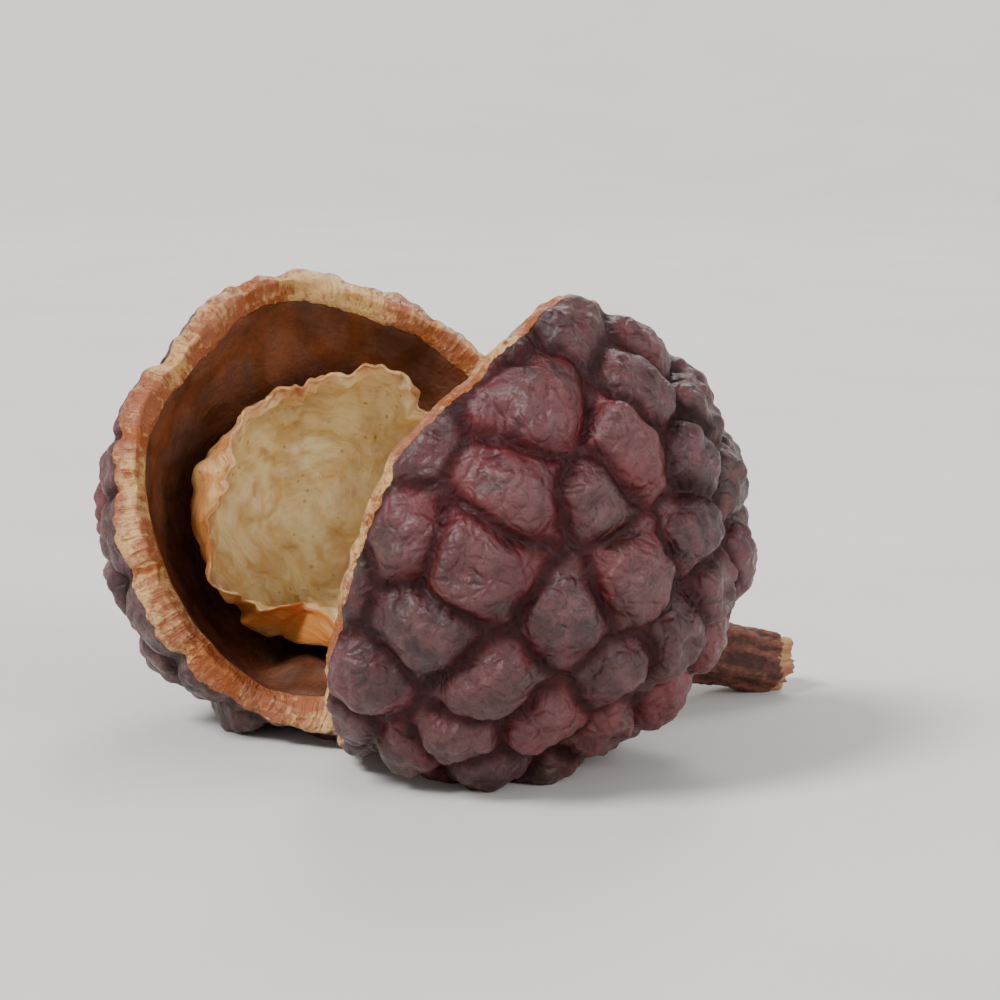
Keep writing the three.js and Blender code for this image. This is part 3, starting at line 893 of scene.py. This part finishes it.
def stalk_frames(fruit, size, shares):
    """Middle, direction and two crossways directions of the stalk at each share of its length."""
    ahead = stalk_line(fruit, size, np.minimum(1.0, shares + 0.01))
    behind = stalk_line(fruit, size, np.maximum(0.0, shares - 0.01))
    tangents = unit(ahead - behind)
    normals = unit(tangents * tangents[:, :1] - np.array([1.0, 0.0, 0.0]))
    return stalk_line(fruit, size, shares), tangents, normals, np.cross(tangents, normals)


def stalk_rod(size):
    """An upright rod of radius 1 and length 1 with rows along it and rings on its ends."""
    mesh = bmesh.new()
    bmesh.ops.create_cone(mesh, cap_ends=True, segments=size.sides, radius1=1.0, radius2=1.0,
                          depth=1.0)
    long_edges = [edge for edge in mesh.edges
                  if abs(edge.verts[0].co.z - edge.verts[1].co.z) > 0.5]
    bmesh.ops.subdivide_edges(mesh, edges=long_edges, cuts=size.rows - 1)
    for _ in range(5):
        caps = [face for face in mesh.faces if len(face.verts) > 4]
        bmesh.ops.inset_region(mesh, faces=caps, thickness=0.18, use_even_offset=True)
    bmesh.ops.poke(mesh, faces=[face for face in mesh.faces if len(face.verts) > 4])
    return mesh


def stalk_bark_relief(turns, shares):
    """Lengthwise wrinkles of the bark, from about -1 to 1."""
    strands = np.stack([2.2 * np.cos(turns), 2.2 * np.sin(turns), 4.0 * shares], axis=1)
    return field(strands, 0.5, offset=1.0) + 0.6 * field(strands * (2.6, 2.6, 6.0), 0.5)


def torn_end(shapes, shares, inward):
    """Where the bark has torn back from the wood, and how far each splinter stands out."""
    cross = shapes * (2.0, 2.0, 0.0) + 5.0
    coarse = field(cross, 0.6)
    fine = field(cross, 0.28, offset=3.0)
    torn = smoothstep(shares + 0.035 * coarse + 0.03 * fine, 0.955, 0.966)
    splinters = 0.8 * coarse + 0.7 * fine - 0.4 * (1.0 - inward)
    return torn, smoothstep(shares, 0.95, 1.0) * splinters


def stalk_radius(size, turns, shares, ridges):
    """Radius of the stalk: a swollen head that flares into the skin and has a bud beside it,
    and a slim ridged shaft."""
    head = (size.head_radius - size.radius) * (1.0 - smoothstep(shares, 0.04, 0.34))
    head += HEAD_FLARE * (1.0 - smoothstep(shares, 0.03, 0.13))
    knots = 0.06 * np.sin(17 * shares + 2 * np.sin(turns))
    bud = (size.bud_height * np.exp(-((shares - 0.19) / 0.09) ** 2)
           * np.maximum(0.0, np.sin(turns)) ** 3)
    return (size.radius + head) * (1.0 + 0.09 * ridges + knots) + bud


class PEPPER_OT_stalk(bpy.types.Operator):
    """Add the stalk, with its swollen head, the bud beside it and its torn end"""
    bl_idname = "pepper.stalk"
    bl_label = "Stalk"

    def execute(self, context):
        fruit = Fruit()
        size = context.scene.pepper_stalk
        mesh = stalk_rod(size)
        shapes = np.array([vert.co[:] for vert in mesh.verts])
        shares = np.clip(shapes[:, 2] + 0.5, 0.0, 1.0)
        turns = np.arctan2(shapes[:, 1], shapes[:, 0])
        inward = np.minimum(1.0, np.hypot(shapes[:, 0], shapes[:, 1]))
        middles, tangents, normals, binormals = stalk_frames(fruit, size, shares)
        ridges = np.cos(5 * turns + 2 * shares)
        bark = stalk_bark_relief(turns, shares)
        torn, splinters = torn_end(shapes, shares, inward)
        radius = (stalk_radius(size, turns, shares, ridges)
                  + BARK_WRINKLE * bark * (1.0 - torn) - BARK_THICKNESS * torn)
        outwards = normals * np.cos(turns)[:, None] + binormals * np.sin(turns)[:, None]
        places = middles + (radius * inward)[:, None] * outwards
        places += tangents * (SPLINTER_LENGTH * splinters)[:, None]
        places[:, 2] = np.maximum(places[:, 2], 0.0)
        # The bark is dark where the head meets the skin
        strand = np.clip(0.5 + 0.6 * bark, 0.0, 1.0) * smoothstep(shares, 0.04, 0.16)
        values = {"ridge": 0.5 + 0.5 * ridges, "torn": torn, "strand": strand}
        piece = finished_piece("woody_stalk", mesh, places, values)
        piece.data.materials.append(dry_stalk_bark())
        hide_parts("stalk")
        return {"FINISHED"}


def put_facing(name, data, middle, bearing, rise, reach):
    """Put a camera or light out from the middle, facing it. Bearings run from front to right."""
    level = math.cos(rise)
    out = Vector((math.sin(bearing) * level, -math.cos(bearing) * level, math.sin(rise)))
    made = bpy.data.objects.new(name, data)
    bpy.context.scene.collection.objects.link(made)
    made.location = middle + out * reach
    made.rotation_euler = out.to_track_quat("Z", "Y").to_euler()
    return made


class PEPPER_OT_stage(bpy.types.Operator):
    """Add the pale floor, the soft lights and the camera"""
    bl_idname = "pepper.stage"
    bl_label = "Stage"

    def execute(self, context):
        stage = context.scene.pepper_stage
        low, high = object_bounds()
        middle = (low + high) / 2
        self.add_floor(stage.floor_radius, stage.sweep)
        self.add_camera(context.scene, stage, middle)
        self.add_lights(context.scene, stage, middle)
        return {"FINISHED"}

    def add_floor(self, radius, sweep, steps=16):
        """A round floor that rises in a smooth curve all round, so that no border shows."""
        mesh = bmesh.new()
        bmesh.ops.create_circle(mesh, cap_ends=True, segments=128, radius=radius)
        border = [edge for edge in mesh.edges if edge.is_boundary]
        for step in range(1, steps + 1):
            turn = step / steps * math.pi / 2
            grown = bmesh.ops.extrude_edge_only(mesh, edges=border)["geom"]
            border = [part for part in grown if isinstance(part, bmesh.types.BMEdge)]
            for vert in [part for part in grown if isinstance(part, bmesh.types.BMVert)]:
                spot = vert.co.xy.normalized() * (radius + sweep * math.sin(turn))
                vert.co = (spot.x, spot.y, sweep * (1.0 - math.cos(turn)))
        floor = mesh_object("pale_floor", mesh)
        floor.data.materials.append(matt_pale_board())
        floor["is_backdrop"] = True

    def add_camera(self, scene, stage, middle):
        data = bpy.data.cameras.new("camera")
        data.lens = stage.lens
        data.clip_start = 1.0 * MM
        data.clip_end = 5000.0 * MM
        scene.camera = put_facing("camera", data, middle, stage.azimuth, stage.elevation,
                                  stage.distance)

    def add_lights(self, scene, stage, middle):
        """A large soft key from the camera's upper left, a weaker fill and one from behind."""
        world = bpy.data.worlds.new("soft_room")
        world.use_nodes = True
        background = world.node_tree.nodes["Background"]
        background.inputs["Color"].default_value = scene.pepper_colours.room
        background.inputs["Strength"].default_value = stage.room_strength
        scene.world = world
        # Degrees from the camera and upwards, metres away and across, and watts
        for name, turn, rise, reach, width, power in (
                ("key_light", -55, 48, 0.5, 0.17, 2.9),
                ("fill_light", 55, 30, 0.6, 0.28, 1.5),
                ("back_light", 170, 40, 0.6, 0.25, 1.3)):
            data = bpy.data.lights.new(name, "AREA")
            data.shape = "DISK"
            data.size = width
            data.energy = power
            put_facing(name, data, middle, stage.azimuth + math.radians(turn), math.radians(rise),
                       reach)


OPERATORS = (PEPPER_OT_husk, PEPPER_OT_lining, PEPPER_OT_stalk, PEPPER_OT_stage)


class PEPPER_PT_sidebar(bpy.types.Panel):
    """Lists the pieces of the peppercorn and the settings"""
    bl_label = "Sichuan peppercorn"
    bl_idname = "PEPPER_PT_sidebar"
    bl_space_type = "VIEW_3D"
    bl_region_type = "UI"
    bl_category = "Peppercorn"

    def draw(self, context):
        for operator in OPERATORS:
            self.layout.operator(operator.bl_idname)
        for name, group in SETTINGS.items():
            box = self.layout.box()
            box.label(text=group.__doc__)
            for field_name in group.__annotations__:
                box.prop(getattr(context.scene, name), field_name)


def register():
    for group in SETTINGS.values():
        bpy.utils.register_class(group)
    for name, group in SETTINGS.items():
        setattr(bpy.types.Scene, name, PointerProperty(type=group))
    for operator in OPERATORS:
        bpy.utils.register_class(operator)
    bpy.utils.register_class(PEPPER_PT_sidebar)


def unregister():
    bpy.utils.unregister_class(PEPPER_PT_sidebar)
    for operator in reversed(OPERATORS):
        bpy.utils.unregister_class(operator)
    for name, group in reversed(list(SETTINGS.items())):
        delattr(bpy.types.Scene, name)
        bpy.utils.unregister_class(group)


def main():
    register()
    bpy.ops.pepper.husk()
    bpy.ops.pepper.lining()
    bpy.ops.pepper.stalk()
    bpy.ops.pepper.stage()


if __name__ == "__main__":
    main()
